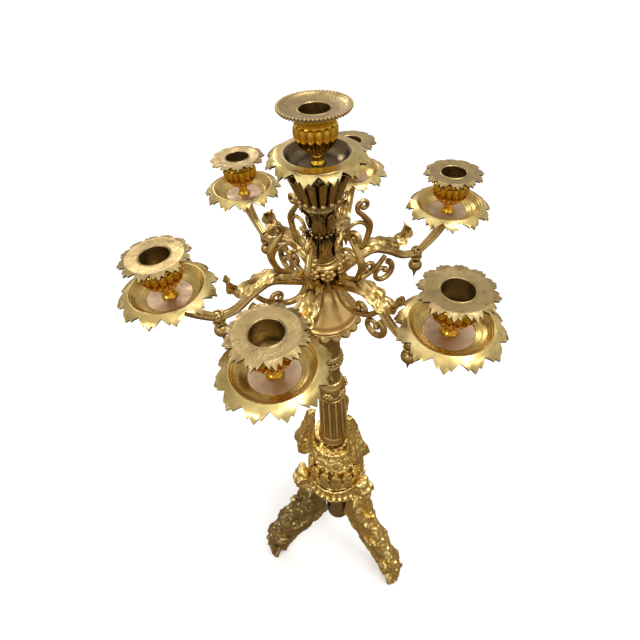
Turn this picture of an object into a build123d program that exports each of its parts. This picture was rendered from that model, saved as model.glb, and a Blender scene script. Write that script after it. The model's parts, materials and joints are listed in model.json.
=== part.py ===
"""Seven-light candelabrum: six scrolled arms and a middle light on a tripod column.

Millimetres, +Z up. The origin is on the floor, on the axis of the column.
Every piece of the column is bored for one tie rod that clamps the stack together.
"""

from build123d import *
from math import cos, radians, sin
import os

# ---------------------------------------------------------------- driving sizes
# Candle sockets
candle_r = 11.0
candle_depth = 19.0
nozzle_wall = 1.2
nozzle_floor = 1.2
nozzle_plate_r = 27.0
centre_plate_r = 26.0
nozzle_plate_thickness = 1.4
nozzle_plate_dish = 2.6
sleeve_clearance = 0.5
seat_gap = 0.1
cup_wall = 2.2
cup_height = 25.5
cup_floor = 5.0
cup_stem_height = 12.5
cup_stem_r = 5.2
stud_r = 2.4
stud_height = 8.0
stud_clearance = 0.3

# Drip pans
pan_r = 39.7
pan_bowl_r = 27.5
centre_bowl_r = 24.0
pan_floor_r = 17.0
pan_thickness = 1.3
pan_depth = 9.0
pan_edge_drop = 6.0
leaf_count = 12
leaf_teeth = 3
pan_slit = 5.2
nozzle_slit = 2.8
side_tooth_drop = 1.6

# Arms
arm_turns = (-4.0, 8.0, 0.0, -8.0, 5.0, -1.0)
first_arm_angle = -30.0
arm_reach = 130.0
arm_rise = 25.7
arm_r = 4.0
arm_thickness = 6.5
scroll_width = 3.6
leaf_width = 17.0
elbow_share = 0.77
elbow_drop_share = 0.10
elbow_r = 5.6
elbow_height = 11.0
pan_seat_r = 7.0
pan_seat_height = 8.0
pendant_r = 6.9
pendant_length = 27.0
pendant_spigot_r = 1.5
pendant_spigot_length = 4.0

# Hub and its screws
hub_r = 14.0
hub_wall = 5.0
hub_height = 30.0
arm_root_height = 8.0
arm_screw_r = 2.0
arm_screw_length = 12.0
screw_head_r = 3.2
screw_head_height = 2.0
screw_clearance = 0.15

# Column, from the floor up
leg_count = 3
first_leg_angle = -150.0
leg_height = 228.0
leg_reach = 134.0
leg_width = 26.0
core_r = 20.0
core_wall = 7.0
core_height = 133.0
leg_screw_r = 2.5
leg_screw_length = 14.0
leg_screw_head_r = 4.2
leg_screw_head_height = 2.5
leg_screw_drop = 38.0
collar_r = 42.0
collar_height = 24.0
collar_bead_r = 2.8
collar_bead_count = 26
collar_bead_level = 7.2
boss_r = 12.5
boss_ring_r = 51.0
boss_height = 56.0
spool_r = 34.0
spool_height = 54.0
knop_r = 35.0
knop_height = 39.0
knop_bead_level = 11.0
knop_bead_r = 2.6
knop_bead_count = 26
crown_r = 31.0
crown_height = 7.0
crown_leaf_height = 82.0
crown_leaf_reach = 46.0
crown_leaf_width = 16.0
shaft_ring_r = 20.5
shaft_ring_height = 16.0
shaft_r = 18.0
shaft_taper = 2.0
shaft_bore_r = 10.0
shaft_height = 87.0
flute_count = 12
flute_r = 2.6
flute_offset = 0.5
floral_collar_r = 17.0
floral_collar_height = 25.0
floral_boss_r = 5.0
floral_boss_count = 6
floral_boss_level = 11.2
lower_neck_r = 14.0
lower_neck_height = 34.0
pearl_ring_r = 13.5
pearl_ring_height = 12.0
pearl_r = 2.6
pearl_count = 18
upper_neck_r = 17.0
upper_neck_height = 46.0
leaf_collar_r = 34.5
leaf_collar_height = 18.0
bell_r = 31.5
bell_height = 42.0
stem_r = 14.0
stem_height = 56.0
calyx_r = 25.0
calyx_height = 29.7

# Tie rod
rod_r = 3.0
rod_clearance = 0.3
rod_in_cup = 9.0
nut_width = 14.0
nut_height = 8.0
washer_r = 12.0
washer_height = 2.0
rod_tail = 4.0

# How far a cutting tool runs past the surface that it cuts
overcut = 4.0

# ---------------------------------------------------------------- levels of the stack
core_base = leg_height - core_height
spool_base = leg_height + collar_height
knop_base = spool_base + spool_height
crown_base = knop_base + knop_height
shaft_ring_base = crown_base + crown_height
shaft_base = shaft_ring_base + shaft_ring_height
floral_base = shaft_base + shaft_height
lower_neck_base = floral_base + floral_collar_height
pearl_ring_base = lower_neck_base + lower_neck_height
upper_neck_base = pearl_ring_base + pearl_ring_height
leaf_collar_base = upper_neck_base + upper_neck_height
bell_base = leaf_collar_base + leaf_collar_height
hub_base = bell_base + bell_height
stem_base = hub_base + hub_height
calyx_base = stem_base + stem_height
centre_pan_base = calyx_base + calyx_height

arm_level = hub_base + arm_root_height
arm_pan_base = arm_level + arm_rise
elbow_reach = arm_reach * elbow_share
elbow_level = arm_level - arm_reach * elbow_drop_share
rod_hole_r = rod_r + rod_clearance
stud_hole_r = stud_r + stud_clearance
sleeve_r = candle_r + nozzle_wall
cup_bore_r = sleeve_r + sleeve_clearance
sleeve_length = candle_depth + nozzle_floor
cup_rim_r = cup_bore_r + cup_wall
arm_angles = [
    first_arm_angle + number * 360 / len(arm_turns) + turn
    for number, turn in enumerate(arm_turns)
]
leg_angles = [first_leg_angle + number * 360 / leg_count for number in range(leg_count)]

# ---------------------------------------------------------------- shapes, as shares of radius and height
CORE_SHAPE = [(1, 0), (1, 0.5), (1, 1)]
COLLAR_SHAPE = [(1.0, 0), (1.04, 0.3), (0.98, 0.55), (0.95, 0.85), (0.88, 1.0)]
SPOOL_SHAPE = [(1, 0), (1.02, 0.22), (0.99, 0.5), (0.9, 0.78), (0.74, 1)]
KNOP_SHAPE = [(0.72, 0), (0.86, 0.1), (0.98, 0.26), (0.9, 0.5), (0.72, 0.76), (0.5, 1)]
FLORAL_SHAPE = [(0.82, 0), (0.9, 0.15), (1, 0.45), (0.92, 0.7), (0.72, 1)]
LOWER_NECK_SHAPE = [(1, 0), (0.86, 0.25), (0.8, 0.55), (0.86, 0.85), (0.94, 1)]
UPPER_NECK_SHAPE = [(0.8, 0), (0.72, 0.2), (0.72, 0.5), (0.84, 0.8), (1, 1)]
LEAF_COLLAR_SHAPE = [(0.5, 0), (0.62, 0.18), (0.86, 0.36), (1, 0.62), (0.97, 0.84), (0.9, 1)]
BELL_SHAPE = [(0.98, 0), (1, 0.08), (0.93, 0.22), (0.68, 0.45), (0.45, 0.68), (0.36, 0.86), (0.35, 1)]
STEM_SHAPE = [(0.9, 0), (1, 0.1), (0.72, 0.3), (0.62, 0.5), (0.7, 0.78), (0.95, 1)]
CALYX_SHAPE = [(0.58, 0), (0.7, 0.12), (0.86, 0.42), (0.97, 0.72), (0.98, 0.9), (0.72, 1)]
PENDANT_SHAPE = [(0.3, 0), (0.34, 0.1), (0.85, 0.25), (1, 0.42), (0.78, 0.58), (0.34, 0.68), (0.2, 0.8)]

# A drip pan's upper side beyond its flat floor: radius as a share of the bowl's, height of the depth
PAN_WALL_SHAPE = [(0.84, 0.3), (0.95, 0.75), (1.06, 1.0)]
# The pan's leaves: radius as a share of the pan's, fall from the crest as a share of the edge's drop
PAN_LEAF_SHAPE = [(0.87, 0.4), (1.0, 1.0)]
CUP_STEM_SHAPE = [(1.7, 0), (1.5, 0.12), (0.85, 0.35), (1.15, 0.62), (0.9, 0.92)]
CUP_BOWL_SHAPE = [(0.6, 0.06), (1.04, 0.34), (1.1, 0.6), (0.98, 0.86), (1.02, 1.0)]
# A nozzle plate's upper side beyond the cup's rim: radius, and height as a share of the dish
NOZZLE_PLATE_SHAPE = [(0.8, 0.7), (1.0, 0.5)]
CROWN_LEAF_BACK_LINE = [(0.6, 0), (0.8, -0.04), (1.0, 0.2), (0.82, 0.55), (0.61, 1.0)]
CROWN_LEAF_FRONT_LINE = [(0.61, 1.0), (0.49, 0.85), (0.49, 0), (0.6, 0)]

# The arm's lines lie in its upright plane, as shares of the arm's reach
ARM_LINE = [(0.09, -0.02), (0.26, 0.06), (0.40, 0.115), (0.52, 0.04), (0.64, -0.07), (0.77, -0.10)]
RISER_LINE = [(0.77, -0.10), (0.86, -0.015), (0.93, 0.055)]
LOW_SCROLL_LINE = [(0.125, -0.03), (0.185, -0.13), (0.285, -0.157), (0.415, -0.10), (0.49, -0.02)]
LOW_CURL_LINE = [
    (0.47, -0.045), (0.545, -0.107), (0.54, -0.19), (0.46, -0.238), (0.405, -0.2), (0.45, -0.15),
]
HIGH_SCROLL_LINE = [
    (0.265, 0.09), (0.315, 0.152), (0.352, 0.29), (0.282, 0.404), (0.256, 0.479), (0.3, 0.494),
    (0.347, 0.451), (0.3, 0.425),
]
LEAF_TOP_LINE = [(0.22, 0.1), (0.36, 0.17), (0.5, 0.135), (0.585, 0.135), (0.625, 0.2)]
LEAF_LOW_LINE = [(0.625, 0.2), (0.605, 0.09), (0.52, 0.06), (0.38, 0.1), (0.22, 0.04)]

# Depth of the notch between two teeth of one leaf, as a share of the slit between leaves
NOTCH_SHARE = 0.7

# The leg's outline, as shares of its reach and height, from the core's top round the outside
LEG_TOP_LINE = [(0.36, 1.0), (0.385, 0.9), (0.45, 0.78), (0.6, 0.71), (0.73, 0.56)]
LEG_BACK_LINE = [(0.73, 0.56), (0.87, 0.42), (0.965, 0.29), (1.0, 0.16), (0.97, 0.05), (0.93, 0.0)]
LEG_ARCH_LINE = [(0.77, 0.0), (0.735, 0.09), (0.62, 0.19), (0.42, 0.32), (0.27, 0.44), (0.1, 0.5)]


def outline(shape, radius, height, base):
    """Points of a turned piece's side, from its base up."""
    return [(radius * across, base + height * up) for across, up in shape]


def turned(shape, radius, height, base, bore_r):
    """Half section of a turned piece that stands on base and is bored through."""
    side = outline(shape, radius, height, base)
    with BuildSketch(Plane.XZ) as section:
        with BuildLine():
            Spline(*side)
            Polyline(side[-1], (bore_r, base + height), (bore_r, base), side[0])
        make_face()
    return section.sketch.faces()


def half_step(count):
    """Start angle that leaves the seam at 0 degrees between two of count evenly spaced pieces."""
    return 180 / count


def radial_points(line, reach, level):
    """Points of an arm's line in its upright plane."""
    return [(reach * out, level + reach * up) for out, up in line]


def leaf_edge(radius, slit):
    """Closed edge of a leaf-cut plate: lobes with a long middle tooth and shorter side teeth."""
    steps = leaf_count * leaf_teeth * 2
    points = []
    for step in range(steps):
        tooth = (step // 2) % leaf_teeth
        drop = 0 if tooth == leaf_teeth // 2 else side_tooth_drop
        notch = slit if tooth == 0 else slit * NOTCH_SHARE
        r = radius - (drop if step % 2 else notch)
        angle = radians(360 * step / steps)
        points.append((r * cos(angle), r * sin(angle)))
    return points


def place(reach, angle, level):
    """Where a piece built on the origin goes on an arm."""
    return Location((reach * cos(radians(angle)), reach * sin(radians(angle)), level), (0, 0, angle))


def save(piece, label):
    """Label one sub-part and write it to its own file."""
    piece.part.label = label
    export_step(piece.part, f"parts/{label}.step")


os.makedirs("parts", exist_ok=True)

# ---------------------------------------------------------------- tripod
leg_screw_plane = Plane(origin=(0, 0, leg_height - leg_screw_drop), z_dir=(1, 0, 0))

with BuildPart() as leg_pattern:
    with BuildSketch(Plane.XZ):
        with BuildLine():
            top = outline(LEG_TOP_LINE, leg_reach, leg_height, 0)
            back = outline(LEG_BACK_LINE, leg_reach, leg_height, 0)
            arch = outline(LEG_ARCH_LINE, leg_reach, leg_height, 0)
            Spline(*top)
            Spline(*back)
            Polyline(back[-1], arch[0])
            Spline(*arch)
            Polyline(arch[-1], (arch[-1][0], leg_height), top[0])
        make_face()
    extrude(amount=leg_width / 2, both=True)
    Cylinder(core_r, leg_height, align=(Align.CENTER, Align.CENTER, Align.MIN), mode=Mode.SUBTRACT)
    with BuildSketch(leg_screw_plane):
        Circle(leg_screw_r + screw_clearance)
    extrude(amount=core_r - core_wall + leg_screw_length + screw_clearance, mode=Mode.SUBTRACT)

for number, angle in enumerate(leg_angles, start=1):
    with BuildPart() as leg:
        add(leg_pattern.part.rotate(Axis.Z, angle))
    save(leg, f"leg_{number}")

with BuildPart() as base_core:
    revolve(turned(CORE_SHAPE, core_r, core_height, core_base, core_r - core_wall))
    with Locations((0, 0, leg_height - core_wall)):
        Cylinder(core_r, core_wall, align=(Align.CENTER, Align.CENTER, Align.MIN))
    with Locations((0, 0, core_base)):
        Cylinder(core_r, core_wall, align=(Align.CENTER, Align.CENTER, Align.MIN))
        Cylinder(rod_hole_r, core_height, align=(Align.CENTER, Align.CENTER, Align.MIN), mode=Mode.SUBTRACT)
    with BuildSketch(leg_screw_plane) as leg_hole:
        Circle(leg_screw_r + screw_clearance)
    with BuildSketch(leg_screw_plane) as leg_spot_face:
        Circle(leg_screw_head_r + screw_clearance)
    for angle in leg_angles:
        extrude(leg_hole.sketch.rotate(Axis.Z, angle), amount=core_r + overcut, mode=Mode.SUBTRACT)
        extrude(leg_spot_face.sketch.rotate(Axis.Z, angle), amount=core_r - core_wall, mode=Mode.SUBTRACT)
save(base_core, "base_core")

with BuildPart() as screw_pattern:
    head_back = core_r - core_wall - leg_screw_head_height
    with BuildSketch(leg_screw_plane.offset(head_back)):
        Circle(leg_screw_head_r)
    extrude(amount=leg_screw_head_height)
    with BuildSketch(leg_screw_plane.offset(core_r - core_wall)):
        Circle(leg_screw_r)
    extrude(amount=leg_screw_length)
with BuildPart() as leg_screws:
    for angle in leg_angles:
        add(screw_pattern.part.rotate(Axis.Z, angle))
save(leg_screws, "leg_screws")

# ---------------------------------------------------------------- collar, spool and knop
with BuildPart() as base_collar:
    revolve(turned(COLLAR_SHAPE, collar_r, collar_height, leg_height, rod_hole_r))
    with Locations((0, 0, leg_height + collar_bead_level)):
        with PolarLocations(collar_r, collar_bead_count, start_angle=half_step(collar_bead_count)):
            Sphere(collar_bead_r)
    with Locations((0, 0, leg_height + boss_height / 2)):
        with PolarLocations(boss_ring_r, leg_count, start_angle=first_leg_angle):
            Cylinder(boss_r, boss_height - 2 * boss_r)
    for level in (leg_height + boss_r, leg_height + boss_height - boss_r):
        with Locations((0, 0, level)):
            with PolarLocations(boss_ring_r, leg_count, start_angle=first_leg_angle):
                Sphere(boss_r)
save(base_collar, "base_collar")

with BuildPart() as base_spool:
    revolve(turned(SPOOL_SHAPE, spool_r, spool_height, spool_base, rod_hole_r))
save(base_spool, "base_spool")

with BuildPart() as knop:
    revolve(turned(KNOP_SHAPE, knop_r, knop_height, knop_base, rod_hole_r))
    with Locations((0, 0, knop_base + knop_bead_level)):
        with PolarLocations(knop_r, knop_bead_count, start_angle=half_step(knop_bead_count)):
            Sphere(knop_bead_r)
save(knop, "knop")

with BuildPart() as crown:
    with BuildSketch(Plane.XY.offset(crown_base)):
        Circle(crown_r)
        Circle(rod_hole_r, mode=Mode.SUBTRACT)
    extrude(amount=crown_height)
    for angle in leg_angles:
        leaf_plane = Plane(
            origin=(0, 0, crown_base),
            x_dir=(cos(radians(angle)), sin(radians(angle)), 0),
            z_dir=(sin(radians(angle)), -cos(radians(angle)), 0),
        )
        with BuildSketch(leaf_plane):
            with BuildLine():
                Spline(*outline(CROWN_LEAF_BACK_LINE, crown_leaf_reach, crown_leaf_height, 0))
                Polyline(*outline(CROWN_LEAF_FRONT_LINE, crown_leaf_reach, crown_leaf_height, 0))
            make_face()
        extrude(amount=crown_leaf_width / 2, both=True)
save(crown, "crown")

# ---------------------------------------------------------------- shaft and neck
with BuildPart() as shaft_ring:
    with BuildSketch(Plane.XZ):
        with BuildLine():
            mid = shaft_ring_base + shaft_ring_height / 2
            shoulder = shaft_ring_r - shaft_ring_height / 2
            Line((shoulder, shaft_ring_base), (rod_hole_r, shaft_ring_base))
            Line((rod_hole_r, shaft_ring_base), (rod_hole_r, shaft_base))
            Line((rod_hole_r, shaft_base), (shoulder, shaft_base))
            ThreePointArc((shoulder, shaft_base), (shaft_ring_r, mid), (shoulder, shaft_ring_base))
        make_face()
    revolve(axis=Axis.Z)
save(shaft_ring, "shaft_ring")

with BuildPart() as shaft:
    with BuildSketch(Plane.XZ):
        Polygon(
            (shaft_bore_r, shaft_base),
            (shaft_r, shaft_base),
            (shaft_r - shaft_taper, floral_base),
            (shaft_bore_r, floral_base),
            align=None,
        )
    revolve(axis=Axis.Z)
    with BuildSketch(Plane.XY.offset(shaft_base + flute_r)):
        with PolarLocations(shaft_r + flute_offset, flute_count):
            Circle(flute_r)
    extrude(amount=shaft_height - 2 * flute_r, mode=Mode.SUBTRACT)
save(shaft, "shaft")

with BuildPart() as floral_collar:
    revolve(turned(FLORAL_SHAPE, floral_collar_r, floral_collar_height, floral_base, rod_hole_r))
    with Locations((0, 0, floral_base + floral_boss_level)):
        with PolarLocations(floral_collar_r, floral_boss_count, start_angle=half_step(floral_boss_count)):
            Sphere(floral_boss_r)
save(floral_collar, "floral_collar")

with BuildPart() as lower_neck:
    revolve(turned(LOWER_NECK_SHAPE, lower_neck_r, lower_neck_height, lower_neck_base, rod_hole_r))
save(lower_neck, "lower_neck")

with BuildPart() as pearl_ring:
    with Locations((0, 0, pearl_ring_base)):
        Cylinder(pearl_ring_r, pearl_ring_height, align=(Align.CENTER, Align.CENTER, Align.MIN))
        Cylinder(
            rod_hole_r, pearl_ring_height, align=(Align.CENTER, Align.CENTER, Align.MIN), mode=Mode.SUBTRACT
        )
    with Locations((0, 0, pearl_ring_base + pearl_ring_height / 2)):
        with PolarLocations(pearl_ring_r, pearl_count, start_angle=half_step(pearl_count)):
            Sphere(pearl_r)
save(pearl_ring, "pearl_ring")

with BuildPart() as upper_neck:
    revolve(turned(UPPER_NECK_SHAPE, upper_neck_r, upper_neck_height, upper_neck_base, rod_hole_r))
save(upper_neck, "upper_neck")

with BuildPart() as leaf_collar:
    revolve(turned(LEAF_COLLAR_SHAPE, leaf_collar_r, leaf_collar_height, leaf_collar_base, rod_hole_r))
save(leaf_collar, "leaf_collar")

with BuildPart() as bell:
    revolve(turned(BELL_SHAPE, bell_r, bell_height, bell_base, rod_hole_r))
save(bell, "bell")

# ---------------------------------------------------------------- hub and arm screws
arm_screw_plane = Plane(origin=(0, 0, arm_level), z_dir=(1, 0, 0))

with BuildPart() as arm_hub:
    with Locations((0, 0, hub_base)):
        Cylinder(hub_r, hub_height, align=(Align.CENTER, Align.CENTER, Align.MIN))
        Cylinder(
            hub_r - hub_wall, hub_height, align=(Align.CENTER, Align.CENTER, Align.MIN), mode=Mode.SUBTRACT
        )
    with BuildSketch(arm_screw_plane) as arm_hole:
        Circle(arm_screw_r + screw_clearance)
    with BuildSketch(arm_screw_plane) as arm_spot_face:
        Circle(screw_head_r + screw_clearance)
    for angle in arm_angles:
        extrude(arm_hole.sketch.rotate(Axis.Z, angle), amount=hub_r + overcut, mode=Mode.SUBTRACT)
        extrude(arm_spot_face.sketch.rotate(Axis.Z, angle), amount=hub_r - hub_wall, mode=Mode.SUBTRACT)
save(arm_hub, "arm_hub")

with BuildPart() as arm_screw_pattern:
    with BuildSketch(arm_screw_plane.offset(hub_r - hub_wall - screw_head_height)):
        Circle(screw_head_r)
    extrude(amount=screw_head_height)
    with BuildSketch(arm_screw_plane.offset(hub_r - hub_wall)):
        Circle(arm_screw_r)
    extrude(amount=arm_screw_length)
with BuildPart() as arm_screws:
    for angle in arm_angles:
        add(arm_screw_pattern.part.rotate(Axis.Z, angle))
save(arm_screws, "arm_screws")

# ---------------------------------------------------------------- stem and calyx
with BuildPart() as upper_stem:
    revolve(turned(STEM_SHAPE, stem_r, stem_height, stem_base, rod_hole_r))
save(upper_stem, "upper_stem")

with BuildPart() as calyx:
    revolve(turned(CALYX_SHAPE, calyx_r, calyx_height, calyx_base, rod_hole_r))
save(calyx, "calyx")

# ---------------------------------------------------------------- tie rod
with BuildPart() as tie_rod:
    rod_foot = core_base - washer_height - nut_height - rod_tail
    with Locations((0, 0, rod_foot)):
        Cylinder(
            rod_r,
            centre_pan_base + pan_thickness + rod_in_cup - rod_foot,
            align=(Align.CENTER, Align.CENTER, Align.MIN),
        )
save(tie_rod, "tie_rod")

with BuildPart() as tie_washer:
    with BuildSketch(Plane.XY.offset(core_base - washer_height)):
        Circle(washer_r)
        Circle(rod_hole_r, mode=Mode.SUBTRACT)
    extrude(amount=washer_height)
save(tie_washer, "tie_washer")

with BuildPart() as tie_nut:
    with BuildSketch(Plane.XY.offset(core_base - washer_height - nut_height)):
        RegularPolygon(nut_width / 2, 6, major_radius=False)
        Circle(rod_r + screw_clearance, mode=Mode.SUBTRACT)
    extrude(amount=nut_height)
save(tie_nut, "tie_nut")

# ---------------------------------------------------------------- arms
with BuildPart() as arm_pattern:
    seat_base = arm_pan_base - pan_seat_height
    riser_points = radial_points(RISER_LINE, arm_reach, arm_level) + [(arm_reach, seat_base)]
    with BuildLine(Plane.XZ) as arm_line:
        Spline(*radial_points(ARM_LINE, arm_reach, arm_level))
    with BuildSketch(Plane(origin=arm_line.line @ 0, z_dir=arm_line.line % 0)):
        Circle(arm_r)
    sweep(path=arm_line.line)
    with BuildLine(Plane.XZ) as riser_line:
        Spline(*riser_points, tangents=[(1, 0.9), (0, 1)])
    with BuildSketch(Plane(origin=riser_line.line @ 0, z_dir=riser_line.line % 0)):
        Circle(arm_r)
    sweep(path=riser_line.line)
    with Locations((arm_reach, 0, seat_base)):
        Cone(arm_r, pan_seat_r, pan_seat_height, align=(Align.CENTER, Align.CENTER, Align.MIN))
        Cylinder(
            stud_r,
            pan_seat_height + pan_thickness + stud_height,
            align=(Align.CENTER, Align.CENTER, Align.MIN),
        )
    with Locations((elbow_reach, 0, elbow_level)):
        Cylinder(elbow_r, elbow_height)
    for line in (LOW_SCROLL_LINE, LOW_CURL_LINE, HIGH_SCROLL_LINE):
        with BuildSketch(Plane.XZ):
            with BuildLine():
                Spline(*radial_points(line, arm_reach, arm_level))
            trace(line_width=scroll_width)
        extrude(amount=arm_thickness / 2, both=True)
    with BuildSketch(Plane.XZ):
        with BuildLine():
            leaf_top = radial_points(LEAF_TOP_LINE, arm_reach, arm_level)
            leaf_low = radial_points(LEAF_LOW_LINE, arm_reach, arm_level)
            Spline(*leaf_top)
            Spline(*leaf_low)
            Polyline(leaf_low[-1], leaf_top[0])
        make_face()
    extrude(amount=leaf_width / 2, both=True)
    with Locations((0, 0, hub_base)):
        Cylinder(hub_r, hub_height, align=(Align.CENTER, Align.CENTER, Align.MIN), mode=Mode.SUBTRACT)
    with BuildSketch(arm_screw_plane):
        Circle(arm_screw_r + screw_clearance)
    extrude(amount=hub_r - hub_wall + arm_screw_length + screw_clearance, mode=Mode.SUBTRACT)
    with Locations((elbow_reach, 0, elbow_level - elbow_height / 2)):
        Cylinder(
            pendant_spigot_r + screw_clearance,
            pendant_spigot_length + screw_clearance,
            align=(Align.CENTER, Align.CENTER, Align.MIN),
            mode=Mode.SUBTRACT,
        )

with BuildPart() as pendant_pattern:
    pendant_top = elbow_level - elbow_height / 2
    with BuildSketch(Plane.XZ):
        with BuildLine():
            side = [(pendant_r * out, pendant_top - pendant_length * down) for out, down in PENDANT_SHAPE]
            Spline(*side)
            Polyline(side[-1], (0, pendant_top - pendant_length), (0, pendant_top), side[0])
        make_face()
    revolve(axis=Axis.Z)
    with Locations((0, 0, pendant_top)):
        Cylinder(pendant_spigot_r, pendant_spigot_length, align=(Align.CENTER, Align.CENTER, Align.MIN))

# ---------------------------------------------------------------- pans, cups and nozzles, built on the origin
pan_crest = pan_depth + pan_thickness



def pan_section(bowl_r):
    """Half section of a drip pan that stands on the origin: flat floor, bowl, crest and drooping edge."""
    upper_side = [(pan_floor_r, pan_thickness)]
    upper_side += outline(PAN_WALL_SHAPE, bowl_r, pan_depth, pan_thickness)
    upper_side += outline(PAN_LEAF_SHAPE, pan_r, -pan_edge_drop, pan_crest)
    lower_side = [(r, z - pan_thickness) for r, z in reversed(upper_side)]
    with BuildSketch(Plane.XZ) as section:
        with BuildLine():
            Line((0, pan_thickness), upper_side[0])
            Spline(*upper_side, tangents=[(1, 0), (1, -1)])
            Line(upper_side[-1], lower_side[0])
            Spline(*lower_side, tangents=[(-1, 1), (-1, 0)])
            Polyline(lower_side[-1], (0, 0), (0, pan_thickness))
        make_face()
    return section.sketch.faces()


with BuildPart() as pan_leaf_cutter:
    with BuildSketch(Plane.XY.offset(-pan_depth)):
        Circle(pan_r + overcut)
        Polygon(*leaf_edge(pan_r, pan_slit), align=None, mode=Mode.SUBTRACT)
    extrude(amount=pan_crest + 2 * pan_depth)

with BuildPart() as arm_pan_pattern:
    revolve(pan_section(pan_bowl_r))
    add(pan_leaf_cutter.part, mode=Mode.SUBTRACT)
    Cylinder(stud_hole_r, pan_crest * 2, mode=Mode.SUBTRACT)

with BuildPart() as centre_pan_pattern:
    revolve(pan_section(centre_bowl_r))
    add(pan_leaf_cutter.part, mode=Mode.SUBTRACT)
    Cylinder(rod_hole_r, pan_crest * 2, mode=Mode.SUBTRACT)
cup_rim = pan_thickness + cup_stem_height + cup_height
cup_bowl_base = pan_thickness + cup_stem_height

with BuildPart() as cup_pattern:
    with BuildSketch(Plane.XZ):
        with BuildLine():
            stem_side = outline(CUP_STEM_SHAPE, cup_stem_r, cup_stem_height, pan_thickness)
            stem_side += outline(CUP_BOWL_SHAPE, cup_rim_r, cup_height, cup_bowl_base)
            Spline(*stem_side)
            Polyline(
                stem_side[-1],
                (cup_bore_r, cup_rim),
                (cup_bore_r, cup_bowl_base + cup_floor),
                (0, cup_bowl_base + cup_floor),
                (0, pan_thickness),
                stem_side[0],
            )
        make_face()
    revolve(axis=Axis.Z)

with BuildPart() as arm_cup_pattern:
    add(cup_pattern.part)
    with Locations((0, 0, pan_thickness)):
        Cylinder(
            stud_hole_r,
            stud_height + stud_clearance,
            align=(Align.CENTER, Align.CENTER, Align.MIN),
            mode=Mode.SUBTRACT,
        )

nozzle_seat = cup_rim + seat_gap
nozzle_mouth = nozzle_seat + nozzle_plate_thickness



def nozzle_section(plate_r):
    """Half section of a nozzle: candle sleeve below, shallow dished plate above."""
    upper_side = [(cup_rim_r, nozzle_mouth)]
    upper_side += outline(NOZZLE_PLATE_SHAPE, plate_r, nozzle_plate_dish, nozzle_mouth)
    lower_side = [(r, z - nozzle_plate_thickness) for r, z in upper_side]
    with BuildSketch(Plane.XZ) as section:
        with BuildLine():
            Polyline(
                upper_side[0],
                (candle_r, nozzle_mouth),
                (candle_r, nozzle_mouth - candle_depth),
                (0, nozzle_mouth - candle_depth),
                (0, nozzle_mouth - sleeve_length),
                (sleeve_r, nozzle_mouth - sleeve_length),
                (sleeve_r, nozzle_seat),
                lower_side[0],
            )
            Spline(*lower_side)
            Line(lower_side[-1], upper_side[-1])
            Spline(*reversed(upper_side))
        make_face()
    return section.sketch.faces()


with BuildPart() as arm_nozzle_pattern:
    revolve(nozzle_section(nozzle_plate_r))
    with BuildSketch(Plane.XY.offset(nozzle_seat - overcut)):
        Circle(nozzle_plate_r + overcut)
        Polygon(*leaf_edge(nozzle_plate_r, nozzle_slit), align=None, mode=Mode.SUBTRACT)
    extrude(amount=nozzle_plate_thickness + nozzle_plate_dish + 2 * overcut, mode=Mode.SUBTRACT)

with BuildPart() as centre_nozzle_pattern:
    revolve(nozzle_section(centre_plate_r))

# ---------------------------------------------------------------- the middle light
with BuildPart() as centre_pan:
    add(centre_pan_pattern.part.moved(Location((0, 0, centre_pan_base))))
save(centre_pan, "centre_pan")

with BuildPart() as centre_cup:
    add(cup_pattern.part.moved(Location((0, 0, centre_pan_base))))
    with Locations((0, 0, centre_pan_base + pan_thickness)):
        Cylinder(
            rod_hole_r,
            rod_in_cup + rod_clearance,
            align=(Align.CENTER, Align.CENTER, Align.MIN),
            mode=Mode.SUBTRACT,
        )
save(centre_cup, "centre_cup")

with BuildPart() as centre_nozzle:
    add(centre_nozzle_pattern.part.moved(Location((0, 0, centre_pan_base))))
save(centre_nozzle, "centre_nozzle")

# ---------------------------------------------------------------- the six arms and their lights
for number, angle in enumerate(arm_angles, start=1):
    light = place(arm_reach, angle, arm_pan_base)
    with BuildPart() as arm:
        add(arm_pattern.part.rotate(Axis.Z, angle))
    save(arm, f"arm_{number}")
    with BuildPart() as pendant:
        add(pendant_pattern.part.moved(place(elbow_reach, angle, 0)))
    save(pendant, f"pendant_{number}")
    with BuildPart() as drip_pan:
        add(arm_pan_pattern.part.moved(light))
    save(drip_pan, f"drip_pan_{number}")
    with BuildPart() as candle_cup:
        add(arm_cup_pattern.part.moved(light))
    save(candle_cup, f"candle_cup_{number}")
    with BuildPart() as nozzle:
        add(arm_nozzle_pattern.part.moved(light))
    save(nozzle, f"nozzle_{number}")
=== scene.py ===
import json
from math import atan2, cos, degrees, pi, radians, sin

import bmesh
import bpy
from mathutils import Matrix, Vector, noise


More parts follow.
